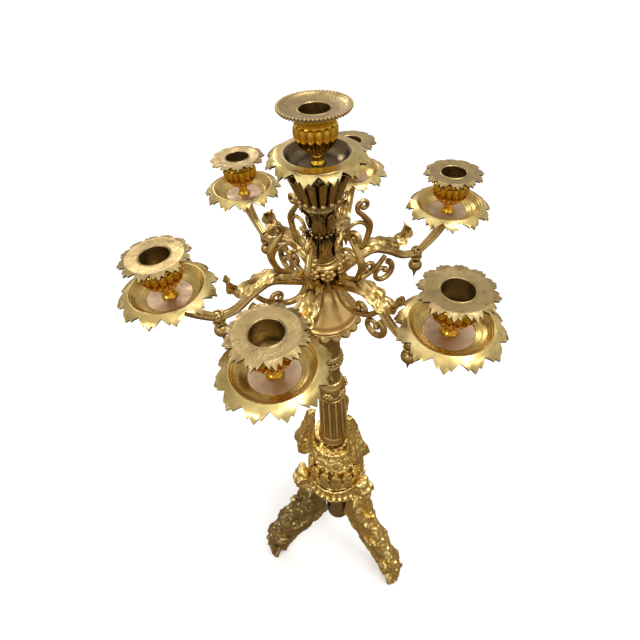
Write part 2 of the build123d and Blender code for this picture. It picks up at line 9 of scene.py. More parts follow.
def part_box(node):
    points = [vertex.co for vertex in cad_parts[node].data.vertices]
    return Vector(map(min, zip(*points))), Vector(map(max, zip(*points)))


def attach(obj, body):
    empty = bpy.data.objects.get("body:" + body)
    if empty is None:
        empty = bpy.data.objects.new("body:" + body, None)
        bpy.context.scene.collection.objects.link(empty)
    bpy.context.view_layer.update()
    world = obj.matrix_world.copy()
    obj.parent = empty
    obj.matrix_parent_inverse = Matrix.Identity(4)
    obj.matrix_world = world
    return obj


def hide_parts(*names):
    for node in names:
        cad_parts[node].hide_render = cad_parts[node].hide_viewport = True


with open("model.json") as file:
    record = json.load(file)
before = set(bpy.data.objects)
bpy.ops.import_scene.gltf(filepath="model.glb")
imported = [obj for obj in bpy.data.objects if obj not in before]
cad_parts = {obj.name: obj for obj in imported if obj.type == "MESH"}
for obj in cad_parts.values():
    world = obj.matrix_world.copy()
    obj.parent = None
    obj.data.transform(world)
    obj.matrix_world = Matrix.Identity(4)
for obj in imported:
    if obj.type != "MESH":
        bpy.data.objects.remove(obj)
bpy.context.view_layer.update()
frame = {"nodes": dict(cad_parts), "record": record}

# Everything below is worked out in millimetres and turned into metres when a mesh is made.
MM = 0.001
SIDE = Vector((0, 1, 0))
noise.seed_set(1)  # otherwise noise_vector starts from the clock and every run differs


# ---------------------------------------------------------------- places taken from the frame
def box_mm(node):
    """Lowest and highest corner of a CAD node, in millimetres."""
    low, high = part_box(node)
    return Vector(low) / MM, Vector(high) / MM


def level(node):
    """Lowest and highest level of a CAD node, in millimetres."""
    low, high = box_mm(node)
    return low.z, high.z


ARM_COUNT = 6
LEG_COUNT = 3
FIRST_LEG_ANGLE = -150
ARM_RISE = 25.7  # from the arms' level up to the underside of their pans
AXIS_R = 0.2  # where a turned side starts and ends, just off the axis
SOCKETS = {mount["name"]: mount for mount in frame["record"]["mounts"] if mount["kind"] == "bore"}
CANDLE_R = SOCKETS["centre_socket"]["dims"]["r_mm"]
CANDLE_DEPTH = SOCKETS["centre_socket"]["dims"]["length_mm"]
LEG_ANGLES = [FIRST_LEG_ANGLE + 360 / LEG_COUNT * number for number in range(LEG_COUNT)]


class Light:
    """One candle light: where its pan stands, which way its arm points and the nodes that it is made of."""

    def __init__(self, socket, pan, cup, nozzle):
        x, y, z = (value / MM for value in SOCKETS[socket]["pos_m"])
        self.x, self.y = x, y
        self.mouth = z + CANDLE_DEPTH / 2
        self.base = level(pan)[0]
        self.cup_base, self.cup_rim = level(cup)
        self.angle = degrees(atan2(y, x))
        self.reach = Vector((x, y)).length
        self.pan, self.cup, self.nozzle = pan, cup, nozzle

    def matrix(self, z=0.0):
        """From a piece built on the origin to its place on this light."""
        return Matrix.Translation((self.x, self.y, z)) @ Matrix.Rotation(radians(self.angle), 4, "Z")


CENTRE = Light("centre_socket", "centre_pan", "centre_cup", "centre_nozzle")
ARM_LIGHTS = [
    Light(f"socket_{k}", f"drip_pan_{k}", f"candle_cup_{k}", f"nozzle_{k}") for k in range(1, ARM_COUNT + 1)
]
ARM_LEVEL = ARM_LIGHTS[0].base - ARM_RISE
REACH = ARM_LIGHTS[0].reach


# ---------------------------------------------------------------- mesh helpers
def curve(points, steps):
    """Catmull-Rom curve through points, with steps samples on each stretch."""
    points = [Vector(p) for p in points]
    padded = [2 * points[0] - points[1], *points, 2 * points[-1] - points[-2]]
    result = []
    for i in range(1, len(padded) - 2):
        a, b, c, d = padded[i - 1:i + 3]
        for step in range(steps):
            t = step / steps
            bend = (2 * a - 5 * b + 4 * c - d) * t**2 + (3 * b - a - 3 * c + d) * t**3
            result.append(0.5 * (2 * b + (c - a) * t + bend))
    result.append(points[-1])
    return result


def profile(*stretches, steps=5):
    """Side of a turned piece: smooth stretches of (radius, height) that meet at corners."""
    points = []
    for stretch in stretches:
        points += [(p.x, p.y) for p in curve([(r, z, 0) for r, z in stretch], steps)]
    return points


def planar(points):
    """Points (out, up) in an arm's upright plane as 3-D points."""
    return [Vector((out, 0, up)) for out, up in points]


def spiral(centre, start_r, end_r, start, end, steps=26):
    """(out, up) points of a scroll's curl round centre, angles in degrees."""
    points = []
    for step in range(steps + 1):
        t = step / steps
        r = start_r + (end_r - start_r) * t
        angle = radians(start + (end - start) * t)
        points.append((centre[0] + r * cos(angle), centre[1] + r * sin(angle)))
    return points


def saw(value):
    """0 at whole numbers and 1 halfway between them."""
    return 1 - abs(2 * (value % 1) - 1)


class Shape:
    """Points and faces of one piece, gathered before its mesh is made."""

    def __init__(self):
        self.points, self.faces = [], []

    def grid(self, rows, close_ends=True):
        """Quads between closed rows of points, with the first and last row capped."""
        start, width = len(self.points), len(rows[0])
        for row in rows:
            self.points.extend(Vector(p) for p in row)
        for i in range(len(rows) - 1):
            a, b = start + i * width, start + (i + 1) * width
            for j in range(width):
                k = (j + 1) % width
                self.faces.append((a + j, a + k, b + k, b + j))
        if close_ends:
            top = start + (len(rows) - 1) * width
            self.faces.append(tuple(range(start + width - 1, start - 1, -1)))
            self.faces.append(tuple(range(top, top + width)))
        return self

    def lathe(self, side, columns=96, bend=None, close_ends=True):
        """Turns a side of (radius, height) points round Z. bend(r, z, angle) may move each point."""
        rows = []
        for r, z in side:
            row = []
            for column in range(columns):
                angle = 2 * pi * column / columns
                radius, height = bend(r, z, angle) if bend else (r, z)
                row.append((radius * cos(angle), radius * sin(angle), height))
            rows.append(row)
        return self.grid(rows, close_ends)

    def sweep(self, path, size, section, side=SIDE):
        """Carries a section along a path. size(t) gives its half width and half height, t from 0 to 1."""
        rows = []
        for i, point in enumerate(path):
            ahead = path[min(i + 1, len(path) - 1)] - path[max(i - 1, 0)]
            normal = side.cross(ahead.normalized())
            width, height = size(i / (len(path) - 1))
            rows.append([point + side * (u * width) + normal * (v * height) for u, v in section])
        return self.grid(rows)

    def leaf(self, spine, side, half_width, lobes, thickness=1.2, cup=0.35, rib=0.5):
        """An acanthus leaf along spine: lobed edges, a raised midrib and a fan of veins."""
        half_columns = 6
        across = [step / half_columns for step in range(-half_columns, half_columns + 1)]
        last = len(spine) - 1
        rows = []
        for i, point in enumerate(spine):
            t = i / last
            ahead = (spine[min(i + 1, last)] - spine[max(i - 1, 0)]).normalized()
            out = side.cross(ahead).normalized() * -1
            notch = 0.66 + 0.34 * saw(t * lobes) ** 0.55
            width = max(half_width(t) * notch, 0.35)
            upper, lower = [], []
            for u in across:
                vein = cos(pi * (3 * abs(u) - lobes * t * 0.9)) * rib * (1 - u * u * 0.5)
                lift = vein - cup * width * u * u + (rib * 2.2 if u == 0 else 0)
                slide = ahead * (abs(u) ** 1.5 * width * 0.35)
                place = point + side * (u * width) + slide
                upper.append(place + out * lift)
                lower.append(place + out * (lift * 0.4 - thickness))
            rows.append(upper + lower[::-1])
        return self.grid(rows)

    def bead(self, centre, r, squash=1.0, rings=6, columns=10):
        """A cast pearl."""
        rows = []
        for ring in range(1, rings):
            tilt = pi * ring / rings
            row = []
            for column in range(columns):
                angle = 2 * pi * column / columns
                row.append(
                    Vector(centre)
                    + Vector((sin(tilt) * cos(angle), sin(tilt) * sin(angle), -cos(tilt) * squash)) * r
                )
            rows.append(row)
        return self.grid(rows)

    def bead_ring(self, radius, height, r, count, start=0.0):
        """A row of pearls round the axis."""
        for number in range(count):
            angle = 2 * pi * number / count + start
            self.bead((radius * cos(angle), radius * sin(angle), height), r)
        return self

    def add(self, other, matrix=None):
        """Adds another shape's points and faces."""
        start = len(self.points)
        self.points.extend(matrix @ p if matrix else p.copy() for p in other.points)
        self.faces.extend(tuple(start + k for k in face) for face in other.faces)
        return self

    def roughen(self, amount, scale):
        """Moves each point a little by smooth noise, as in a hand-finished casting."""
        for p in self.points:
            p += noise.noise_vector(p * scale) * amount
        return self

    def object(self, name, matrix=None, voxel=None, lumps=None, sharp=38):
        """Makes the mesh object, in metres. voxel fuses the shape into one skin of that size, and lumps
        (height, cell size) raise rounded bumps over it, as on a rough casting."""
        mesh = bpy.data.meshes.new(name)
        points = [(matrix @ p if matrix else p) * MM for p in self.points]
        mesh.from_pydata(points, [], self.faces)
        work = bmesh.new()
        work.from_mesh(mesh)
        bmesh.ops.recalc_face_normals(work, faces=work.faces)
        work.to_mesh(mesh)
        work.free()
        piece = bpy.data.objects.new(name, mesh)
        bpy.context.scene.collection.objects.link(piece)
        if voxel:
            fuse = piece.modifiers.new("fuse", "REMESH")
            fuse.mode = "VOXEL"
            fuse.voxel_size = voxel * MM
            fused = bpy.data.meshes.new_from_object(
                piece.evaluated_get(bpy.context.evaluated_depsgraph_get())
            )
            piece.modifiers.clear()
            piece.data = fused
            fused.name = name
            bpy.data.meshes.remove(mesh)
            mesh = fused
        if lumps:
            height, cell = lumps
            skin = [(vertex.co.copy(), vertex.normal.copy()) for vertex in mesh.vertices]
            moved = []
            for spot, normal in skin:
                rise = (0.42 - noise.voronoi(spot / (cell * MM))[0][0]) * height * MM
                place = spot + normal * rise
                place.z = max(place.z, 0.0)
                moved.extend(place)
            mesh.vertices.foreach_set("co", moved)
            mesh.update()
        mesh.shade_smooth()
        mesh.set_sharp_from_angle(angle=radians(sharp))
        return piece


def turned(*stretches, steps=6, columns=96):
    """A turned piece, from the stretches of its side."""
    return Shape().lathe(profile(*stretches, steps=steps), columns)


def leaf_ring(shape, count, start, line, half_width, *form):
    """Puts count equal leaves round the axis, the first one turned by start degrees."""
    leaf = Shape().leaf(line, SIDE, half_width, *form)
    for k in range(count):
        shape.add(leaf, Matrix.Rotation(radians(start + 360 / count * k), 4, "Z"))


def finish_piece(piece, slot, material, *nodes, body="stand"):
    """Gives a piece its material and body, and hides the CAD nodes that it stands for. slot is not used."""
    if material:
        piece.data.materials.clear()
        piece.data.materials.append(material)
    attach(piece, body)
    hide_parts(*nodes)


# ---------------------------------------------------------------- materials
def brass(name, base, worn, dirt_and_shade, roughness, dirt_and_shade_amount=0.6, speckle=None, bump=0.15, grain=350.0, hollow_m=0.006):
    """Cast or turned brass: patina in clouds, dirt and painted shade darkening the recesses, bright worn
    edges, fine tool marks.
    """
    material = bpy.data.materials.new(name)
    material.use_nodes = True
    nodes, links = material.node_tree.nodes, material.node_tree.links
    shader = nodes["Principled BSDF"]
    shader.inputs["Metallic"].default_value = 1.0
    shader.inputs["Specular IOR Level"].default_value = 0.6
    place = nodes.new("ShaderNodeTexCoord").outputs["Object"]

    def remap(value, low, high, first=0.0, last=1.0):
        node = nodes.new("ShaderNodeMapRange")
        for socket, number in zip(("From Min", "From Max", "To Min", "To Max"), (low, high, first, last)):
            node.inputs[socket].default_value = number
        links.new(value, node.inputs["Value"])
        return node.outputs["Result"]

    def clouds(scale, detail, low, high):
        texture = nodes.new("ShaderNodeTexNoise")
        texture.inputs["Scale"].default_value = scale
        texture.inputs["Detail"].default_value = detail
        texture.inputs["Roughness"].default_value = 0.6
        links.new(place, texture.inputs["Vector"])
        return remap(texture.outputs["Fac"], low, high)

    def mix(factor, first, second, strength=1.0):
        blend = nodes.new("ShaderNodeMix")
        blend.data_type = "RGBA"
        if strength != 1.0:
            factor = remap(factor, 0.0, 1.0, 0.0, strength)
        links.new(factor, blend.inputs["Factor"])
        for socket, value in (("A", first), ("B", second)):
            target = [s for s in blend.inputs if s.name == socket and s.type == "RGBA"][0]
            if isinstance(value, tuple):
                target.default_value = (*value, 1)
            else:
                links.new(value, target)
        return [s for s in blend.outputs if s.type == "RGBA"][0]

    colour = mix(clouds(45.0, 5.0, 0.35, 0.65), base, worn)
    if speckle:
        colour = mix(clouds(160.0, 6.0, 0.52, 0.72), colour, speckle, 0.75)
    # Dirt and painted shade: the colour darkens towards the recess colour wherever ambient occlusion finds
    # surfaces close by, within hollow_m
    hollow = nodes.new("ShaderNodeAmbientOcclusion")
    hollow.inputs["Distance"].default_value = hollow_m
    hollow.samples = 6
    colour = mix(remap(hollow.outputs["AO"], 0.35, 0.9, dirt_and_shade_amount, 0.0), colour, dirt_and_shade)
    edge = nodes.new("ShaderNodeNewGeometry").outputs["Pointiness"]
    rubbed = tuple(min(1.0, c * 1.35 + 0.05) for c in base)
    colour = mix(remap(edge, 0.52, 0.62), colour, rubbed, 0.6)
    links.new(colour, shader.inputs["Base Color"])

    dull = remap(clouds(90.0, 6.0, 0.3, 0.7), 0.0, 1.0, roughness * 0.75, min(1.0, roughness * 1.5))
    links.new(dull, shader.inputs["Roughness"])

    height = nodes.new("ShaderNodeBump")
    height.inputs["Strength"].default_value = bump
    height.inputs["Distance"].default_value = 0.0006
    links.new(clouds(grain, 4.0, 0.0, 1.0), height.inputs["Height"])
    links.new(height.outputs["Normal"], shader.inputs["Normal"])
    return material


BASE_GILT = brass(
    "base_gilt", (0.92, 0.70, 0.27), (0.78, 0.55, 0.18), (0.16, 0.09, 0.025), 0.27, 0.55,
    bump=0.4, grain=260.0, hollow_m=0.003,
)
# Darker brass with green speckle; on the first leg it is painted shade
LEG_BRASS = brass(
    "leg_brass", (0.62, 0.46, 0.18), (0.34, 0.25, 0.12), (0.04, 0.03, 0.015), 0.3, 0.95,
    speckle=(0.22, 0.23, 0.16), bump=0.5, grain=260.0,
)
COLUMN_BRASS = brass(
    "column_brass", (0.64, 0.45, 0.17), (0.46, 0.31, 0.11), (0.06, 0.035, 0.012), 0.27, 0.85, bump=0.3
)
BELL_GILT = brass("bell_gilt", (0.82, 0.56, 0.22), (0.76, 0.50, 0.18), (0.1, 0.05, 0.02), 0.28, bump=0.05)
ARM_BRASS = brass(
    "arm_brass", (0.70, 0.50, 0.19), (0.46, 0.31, 0.11), (0.045, 0.027, 0.01), 0.22, 0.85, bump=0.3
)
STEM_BRASS = brass(
    "stem_brass", (0.54, 0.38, 0.15), (0.34, 0.23, 0.09), (0.04, 0.024, 0.01), 0.24, 0.85, bump=0.3
)
# Pan materials: their long occlusion reach (hollow_m) darkens the whole inside of each bowl, painted shade
PAN_BOWL = brass(
    "pan_bowl", (0.74, 0.53, 0.18), (0.62, 0.41, 0.12), (0.12, 0.07, 0.03), 0.22, 0.8,
    speckle=(0.50, 0.33, 0.11), bump=0.06, grain=600.0, hollow_m=0.02,
)
# Painted shade: the deep centre bowl is given dark brown colours in place of the shade inside it
SHADED_CENTRE_BOWL = brass(
    "shaded_centre_bowl", (0.34, 0.24, 0.12), (0.22, 0.15, 0.08), (0.04, 0.025, 0.012), 0.2, 0.9,
    speckle=(0.15, 0.10, 0.05), bump=0.1, grain=400.0, hollow_m=0.03,
)
PAN_FLOOR = brass(
    "pan_floor", (0.74, 0.56, 0.38), (0.62, 0.45, 0.29), (0.20, 0.12, 0.06), 0.48,
    speckle=(0.50, 0.36, 0.22), bump=0.08, grain=600.0, hollow_m=0.02,
)
PAN_BRASS = brass(
    "pan_brass", (0.72, 0.56, 0.24), (0.46, 0.33, 0.11), (0.10, 0.07, 0.025), 0.22, 0.7,
    speckle=(0.34, 0.28, 0.12), bump=0.12,
)
CUP_GILT = brass(
    "cup_gilt", (0.88, 0.55, 0.06), (0.80, 0.44, 0.04), (0.10, 0.045, 0.008), 0.15, 0.95,
    bump=0.08, hollow_m=0.01,
)
NOZZLE_BRASS = brass(
    "nozzle_brass", (0.47, 0.34, 0.15), (0.32, 0.23, 0.10), (0.06, 0.04, 0.016), 0.31, 0.9,
    speckle=(0.17, 0.12, 0.05), bump=0.5,
)
STEEL = brass("steel", (0.5, 0.49, 0.47), (0.4, 0.39, 0.37), (0.1, 0.09, 0.08), 0.4, 0.4)


# ---------------------------------------------------------------- candle lights
PAN_R = 39.7
PAN_THICKNESS = 1.3
PAN_CREST = 10.3
LOBES = 12
# Edge of half a leaf lobe: share of the way from its tip to the slit beside it, share of the outer radius
PAN_LOBE = [(0.0, 1.0), (0.32, 0.935), (0.45, 0.96), (1.0, 0.845)]
NOZZLE_LOBE = [(0.0, 1.0), (0.32, 0.89), (0.5, 0.95), (1.0, 0.79)]


def lobe_radius(lobe, share):
    """Edge of one leaf lobe: share is 0 at its tip and 1 in the slit beside it."""
    for (a, ra), (b, rb) in zip(lobe, lobe[1:]):
        if share <= b:
            return ra + (rb - ra) * (share - a) / (b - a)
    return lobe[-1][1]


def lobe_columns(lobe):
    """Angles round a leaf-cut plate, with a column on every tooth and notch."""
    marks = [share for share, _ in lobe]
    half = sorted(set(marks) | {(a + b) / 2 for a, b in zip(marks, marks[1:])})
    columns = []
    for number in range(LOBES):
        for share in [-s for s in reversed(half) if s] + half[:-1]:
            columns.append((2 * pi * (number + share / 2) / LOBES, abs(share)))
    return columns


def leaf_plate(lobe, stations, outer_r, droop, thickness, curl=0.5):
    """A plate cut into leaf lobes. stations are the (r, z) of its upper side out to the leaves' roots;
    from there each leaf runs out to its own edge and falls by droop, more steeply near the tip."""
    columns = lobe_columns(lobe)
    edge_r, edge_z = stations[-1]
    upper = [[(r * cos(a), r * sin(a), z) for a, _ in columns] for r, z in profile(stations, steps=5)]
    for step in range(1, 9):
        s = step / 8
        row = []
        for a, share in columns:
            rim = max(outer_r * lobe_radius(lobe, share), edge_r + 0.3)
            r = edge_r + (rim - edge_r) * s
            out = (r - edge_r) / (outer_r - edge_r)
            z = edge_z - droop * ((1 - curl) * out + curl * out**2.4) - 0.5 * (1 - share) * (1 - s) * s * 4
            row.append((r * cos(a), r * sin(a), z))
        upper.append(row)
    lower = [[(x * 0.99, y * 0.99, z - thickness) for x, y, z in row] for row in upper]
    return upper[::-1] + lower


def pan_piece(name, matrix, bowl_r, bowl_brass, seed):
    """Polished bowl with a flat floor, a crest and a skirt of drooping leaves, standing on height 0."""
    columns, floor_bands, floor_r = 96, 12, bowl_r * 0.62
    low, depth = PAN_THICKNESS, PAN_CREST - PAN_THICKNESS
    rim = [(bowl_r, PAN_CREST - 0.5), (bowl_r + 1.2, PAN_CREST)]
    bowl = profile(
        [(0.4, low), (9.0, low), (floor_r, low)],
        [(bowl_r * 0.64, low + 0.5), (bowl_r * 0.84, low + depth * 0.36), (bowl_r * 0.95, low + depth * 0.74),
         *rim],
        steps=6,
    )
    bowl = [(r, z + 0.16 * sin(r * 4.2) * (r > bowl_r * 0.66)) for r, z in bowl]
    under = [(r + 0.25, z - PAN_THICKNESS) for r, z in reversed(bowl)]
    shell = Shape().lathe(bowl + under, columns).roughen(0.25, 0.05)
    skirt = Shape()
    stations = [rim[-1], (31.2, PAN_CREST - 0.6), (32.0, PAN_CREST - 1.0)]
    skirt.grid(leaf_plate(PAN_LOBE, stations, PAN_R, 6.4, PAN_THICKNESS, 0.7), close_ends=False)
    wobble = Vector((seed * 31.7, seed * 17.3, 0))
    for p in skirt.points:
        out = max(0.0, Vector((p.x, p.y)).length - rim[-1][0]) / 10
        p.z += 1.5 * out * noise.noise(p * 0.05 + wobble)
    whole = Shape().add(shell).add(skirt)
    piece = whole.object(name, matrix)
    for metal in (bowl_brass, PAN_BRASS, PAN_FLOOR):
        piece.data.materials.append(metal)
    for face in piece.data.polygons[len(shell.faces):]:
        face.material_index = 1
    if bowl_brass is PAN_BOWL:
        for face in piece.data.polygons[:columns * floor_bands]:
            face.material_index = 2
    return piece


PLATE_R = 27.8
SLEEVE_R = CANDLE_R + 1.2
NECK_R = CANDLE_R + 3.4


def nozzle_sleeve(shape, mouth):
    """The socket's sleeve under a nozzle plate, with a rolled lip round its mouth."""
    bottom = mouth - CANDLE_DEPTH - 1.2
    side = profile(
        [(0.4, bottom), (SLEEVE_R, bottom)],
        [(SLEEVE_R, bottom), (SLEEVE_R, mouth - 2.4)],
        [(NECK_R, mouth - 2.0), (NECK_R + 0.8, mouth - 1.4), (NECK_R, mouth - 0.8)],
        [(CANDLE_R + 1.3, mouth + 0.1), (CANDLE_R + 0.6, mouth + 0.55), (CANDLE_R, mouth)],
        [(CANDLE_R, mouth - 0.4), (CANDLE_R, mouth - CANDLE_DEPTH)],
        [(CANDLE_R - 0.4, mouth - CANDLE_DEPTH), (0.4, mouth - CANDLE_DEPTH)],
        steps=3,
    )
    return shape.lathe(side, 72)


def arm_nozzle(mouth):
    """Serrated plate with turned-down teeth on a candle sleeve; mouth is the height of its lip."""
    stations = [(CANDLE_R + 0.5, mouth), (16.0, mouth + 0.2), (19.5, mouth + 0.5), (21.2, mouth + 0.6)]
    rows = leaf_plate(NOZZLE_LOBE, stations, PLATE_R, 2.4, 1.2, 0.6)
    shape = Shape().grid(rows, close_ends=False).roughen(0.35, 0.07)
    return nozzle_sleeve(shape, mouth)


def centre_nozzle(mouth):
    """Dished plate with a double row of pearls on its edge."""
    edge = 25.0
    side = profile(
        [(CANDLE_R + 0.4, mouth - 1.4), (17.0, mouth - 1.2), (22.0, mouth + 0.2), (edge, mouth + 1.0)],
        [(edge, mouth + 2.4), (edge - 1.0, mouth + 2.9), (edge - 2.0, mouth + 2.3)],
        [(22.0, mouth + 1.5), (17.0, mouth + 0.4), (CANDLE_R + 0.5, mouth)],
        steps=4,
    )
    pearls = 60
    shape = Shape().lathe(side + side[:1], close_ends=False)
    shape.bead_ring(edge + 0.3, mouth + 2.3, 1.3, pearls)
    shape.bead_ring(edge - 0.4, mouth + 0.6, 0.8, pearls, pi / pearls)
    return nozzle_sleeve(shape, mouth)


GADROONS = 16
CUP_BORE_R = SLEEVE_R + 0.5


def candle_cup(base, rim):
    """Gadrooned cup on a short bulbed stem, bored for the nozzle's sleeve."""
    high = rim - base
    wide = 16.3

    def at(points):
        return [(wide * r, base + high * z) for r, z in points]

    bowl_low, bowl_top = base + high * 0.225, base + high * 0.79

    def flute(r, z, angle):
        if not bowl_low < z < bowl_top:
            return r, z
        share = (z - bowl_low) / (bowl_top - bowl_low)
        depth = (0.22 - 0.10 * min(1.0, share * 2)) * sin(pi * share) ** 0.4
        lobe = abs(cos(angle * GADROONS / 2))
        return r * (1 - depth * (1 - lobe)), z

    side = profile(
        at([(0.02, 0.0), (0.38, 0.0)]),
        at([(0.38, 0.012), (0.35, 0.04), (0.27, 0.075), (0.24, 0.11)]),
        at([(0.25, 0.13), (0.27, 0.15), (0.26, 0.17), (0.24, 0.19)]),
        at([(0.27, 0.21), (0.44, 0.255), (0.69, 0.34), (0.88, 0.45), (0.98, 0.57), (1.0, 0.68),
            (0.95, 0.78)]),
        at([(0.88, 0.80), (0.865, 0.84), (0.87, 0.88)]),
        at([(0.92, 0.9), (0.95, 0.93), (0.92, 0.96), (0.95, 1.0)]),
        at([(CUP_BORE_R / wide, 1.0), (CUP_BORE_R / wide, 0.5)]),
        at([(CUP_BORE_R / wide, 0.47), (0.02, 0.47)]),
        steps=5,
    )

    def bend(r, z, angle):
        in_bore = abs(r - CUP_BORE_R) < 0.02 or abs(z - base - high * 0.47) < 0.02
        plain = in_bore and r <= CUP_BORE_R and z >= base + high * 0.46
        return (r, z) if plain else flute(r, z, angle)

    shape = Shape().lathe(side, GADROONS * 10, bend)
    return shape.bead_ring(wide * 0.87, base + high * 0.825, 0.8, GADROONS)


def make_light(light, seed, bowl_r, bowl_brass, nozzle_body):
    """The pan, cup and nozzle of one light."""
    pan = pan_piece(f"{light.pan}_leaves", light.matrix(light.base), bowl_r, bowl_brass, seed)
    finish_piece(pan, "pan_brass", None, light.pan)
    cup = candle_cup(light.cup_base, light.cup_rim).object(f"{light.cup}_gadrooned", light.matrix())
    finish_piece(cup, "cup_gilt", CUP_GILT, light.cup)
    nozzle = centre_nozzle(light.mouth) if light is CENTRE else arm_nozzle(light.mouth)
    nozzle = nozzle.object(f"{light.nozzle}_{nozzle_body}", light.matrix())
    finish_piece(nozzle, "nozzle_brass", NOZZLE_BRASS, light.nozzle, body=light.nozzle)


for number, light in enumerate(ARM_LIGHTS, start=1):
    make_light(light, number, 28.6, PAN_BOWL, "serrated")
make_light(CENTRE, 0, 24.0, SHADED_CENTRE_BOWL, "pearled")


# ---------------------------------------------------------------- arms
def ring(count, ribs=0, depth=0.0):
    """Section of a branch: a circle of unit radius with ribs raised on it."""
    turns = [2 * pi * k / count for k in range(count)]
    return [((1 + depth * cos(ribs * a)) * cos(a), (1 + depth * cos(ribs * a)) * sin(a)) for a in turns]


ROUND = ring(20)
RIBBED = ring(30, 6, 0.1)


def scaled(points):
    """Points given as shares of the arm's reach, in its upright plane."""
    return planar([(REACH * out, ARM_LEVEL + REACH * up) for out, up in points])


# Lines of an arm, as shares of its reach: out from the axis, and up from its own level
ELBOW = (0.77, -0.10)
ARM_LINE = [(0.09, -0.02), (0.24, 0.045), (0.38, 0.085), (0.51, 0.025), (0.64, -0.07), ELBOW]
ARM_LEAF = [
    (0.12, 0.045), (0.22, 0.105), (0.34, 0.15), (0.45, 0.145), (0.54, 0.11), (0.60, 0.105), (0.65, 0.155),
    (0.635, 0.2),
]
LOW_SCROLL = [(0.125, -0.03), (0.185, -0.13), (0.285, -0.157), (0.415, -0.10), (0.49, -0.02)]
HIGH_SCROLL = [(0.255, 0.06), (0.315, 0.152), (0.352, 0.29), (0.31, 0.375), (0.262, 0.43)]
# Each scroll: its branch and the branch's thickness, then its curl: centre, first and last radius, first and
# last angle, thickness, and the radius of the pearl at its eye
SCROLLS = [
    (LOW_SCROLL, (3.6, 3.0, 2.3), ((0.468, -0.168), 0.098, 0.03, 62, -330, (3.2, 2.6, 1.8), 3.4)),
    (None, None, ((0.345, -0.075), 0.055, 0.018, -80, 230, (2.6, 2.3, 1.8), 3.2)),
    (HIGH_SCROLL, (2.4, 3.0, 2.2), ((0.302, 0.462), 0.048, 0.014, 220, -170, (2.2, 1.9, 1.3), 2.3)),
    (None, None, ((0.235, 0.27), 0.11, 0.03, -20, 235, (2.0, 1.7, 1.1), None)),
]


def taper(start, middle, end, flat=1.0):
    """Half width and half height along a scroll, from start through middle to end."""
    def size(t):
        r = start + (middle - start) * min(t * 2, 1) + (end - middle) * max(t * 2 - 1, 0)
        return r * flat, r
    return size


def arm_casting():
    """One arm: ribbed branch, flared riser, acanthus leaf, upright scroll and hanging scrolls."""
    shape = Shape()
    seat = ARM_LEVEL + ARM_RISE
    shape.sweep(curve(scaled(ARM_LINE), 9), taper(5.0, 4.0, 3.6), RIBBED)
    riser = scaled([ELBOW, (0.86, -0.03), (0.94, 0.05)]) + planar([(REACH * 0.985, seat - 8), (REACH, seat)])
    shape.sweep(curve(riser, 8), taper(3.4, 4.6, 7.2), RIBBED)
    elbow = scaled([ELBOW])[0]
    shape.bead(elbow, 5.4, 1.0, 10, 18)
    for above, radius in ((-4.4, 4.6), (4.2, 4.4)):
        pearls = Shape().bead_ring(radius, above, 1.5, 10)
        shape.add(pearls, Matrix.Translation(elbow))

    leaf_spine = curve(scaled(ARM_LEAF), 10)
    shape.leaf(leaf_spine, SIDE, lambda t: 10.5 * sin(pi * min(t * 0.80 + 0.14, 1)) ** 0.6, 8, 1.6, 0.42, 0.9)

    for line, branch, curl in SCROLLS:
        if line:
            shape.sweep(curve(scaled(line), 8), taper(*branch), ROUND)
        (out, up), start_r, end_r, start, end, thick, pearl = curl
        path = spiral((REACH * out, ARM_LEVEL + REACH * up), REACH * start_r, REACH * end_r, start, end)
        shape.sweep(planar(path), taper(*thick), ROUND)
        if pearl:
            shape.bead((path[-1][0], 0, path[-1][1]), pearl, 1.0, 8, 12)
    for out, up in ((0.2, 0.235), (0.225, 0.27), (0.19, 0.275)):
        shape.bead((REACH * out, 0, ARM_LEVEL + REACH * up), 2.5, 1.0, 8, 12)
    return shape.roughen(0.35, 0.06)


def pendant(top):
    """Turned drop under an elbow: collar, bulb and spike."""
    return turned(
        [(AXIS_R, top), (2.6, top), (2.6, top - 1.6)],
        [(1.9, top - 2.2), (2.0, top - 3.0), (5.2, top - 5.2), (6.9, top - 9.6), (5.8, top - 13.4),
         (3.0, top - 15.4)],
        [(2.7, top - 15.8), (3.0, top - 16.8), (2.2, top - 18.0), (0.9, top - 23.5), (0.15, top - 26.8)],
        steps=5, columns=40,
    )


casting = arm_casting()
drop = pendant(ARM_LEVEL + REACH * ELBOW[1] - 5.5)
for number, light in enumerate(ARM_LIGHTS, start=1):
    turn = Matrix.Rotation(radians(light.angle), 4, "Z")
    arm = casting.object(f"arm_{number}_scrolled", turn)
    finish_piece(arm, "arm_brass", ARM_BRASS, f"arm_{number}")
    place = turn @ Matrix.Translation((REACH * ELBOW[0], 0, 0))
    finish_piece(drop.object(f"pendant_{number}_turned", place), "arm_brass", ARM_BRASS, f"pendant_{number}")


# ---------------------------------------------------------------- stem, calyx, hub
def calyx():
    """Fluted calyx: pointed leaves above, each ending in a pearl below."""
    low, high = level("calyx")
    tall = high - low
    leaves = 16
    side = profile(
        [(AXIS_R, low), (12.0, low), (15.5, low + 1.5)],
        [(17.5, low + 3.4), (20.5, low + tall * 0.38), (23.5, low + tall * 0.66), (25.5, low + tall * 0.86)],
        [(23.0, low + tall * 0.88), (17.0, low + tall * 0.8), (12.0, low + tall * 0.7),
         (AXIS_R, low + tall * 0.7)],
        steps=6,
    )

    def bend(r, z, angle):
        share = (z - low) / tall
        if 0.08 < share < 0.84:
            r *= 1 - 0.2 * (1 - abs(cos(angle * leaves / 2)) ** 0.5)
        if share > 0.66:
            z += 3.0 * (abs(cos(angle * leaves / 2)) - 0.5) * max(0.0, 1 - abs(share - 0.82) / 0.16)
        return r, z

    shape = Shape().lathe(side, leaves * 8, bend)
    return shape.bead_ring(17.4, low + 3.4, 2.5, leaves)


